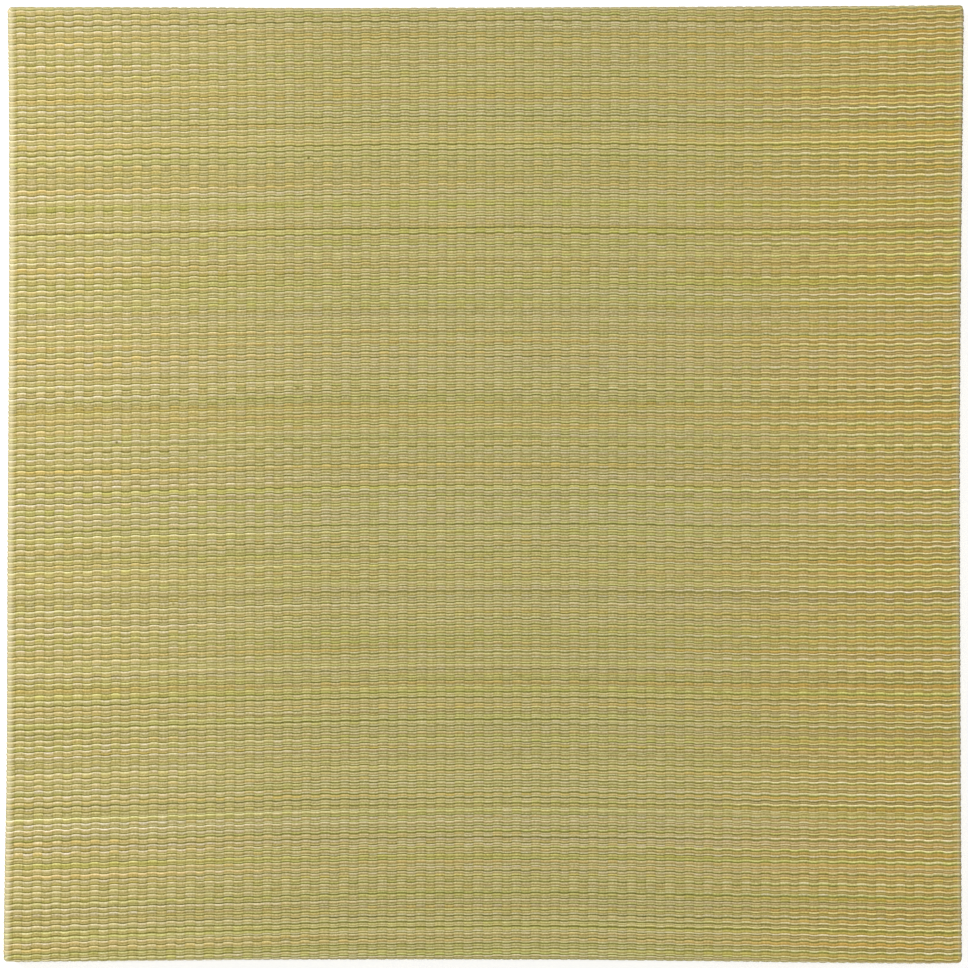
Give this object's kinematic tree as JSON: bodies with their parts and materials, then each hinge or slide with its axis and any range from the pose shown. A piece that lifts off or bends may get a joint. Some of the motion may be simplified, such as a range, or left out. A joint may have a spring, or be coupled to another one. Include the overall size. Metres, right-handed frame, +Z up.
{
  "type": "tatami mat",
  "caption": "Square borderless tatami mat of woven rush, with a finely ribbed face turned over its rounded edges, for lying loose on a floor.",
  "frame": {"origin": "under the middle of the mat, on the surface that it lies on", "axes": "+Z up out of the woven face, +X along the rushes, +Y along the warp and the ribs of the weave"},
  "size_m": [0.8246, 0.823, 0.025],
  "materials": {
    "woven_rush": "dried natural rush, straw green, satin, finely woven in ribs"
  },
  "bodies": {
    "root": {"rush_mat": "woven_rush"}
  },
  "joints": []
}
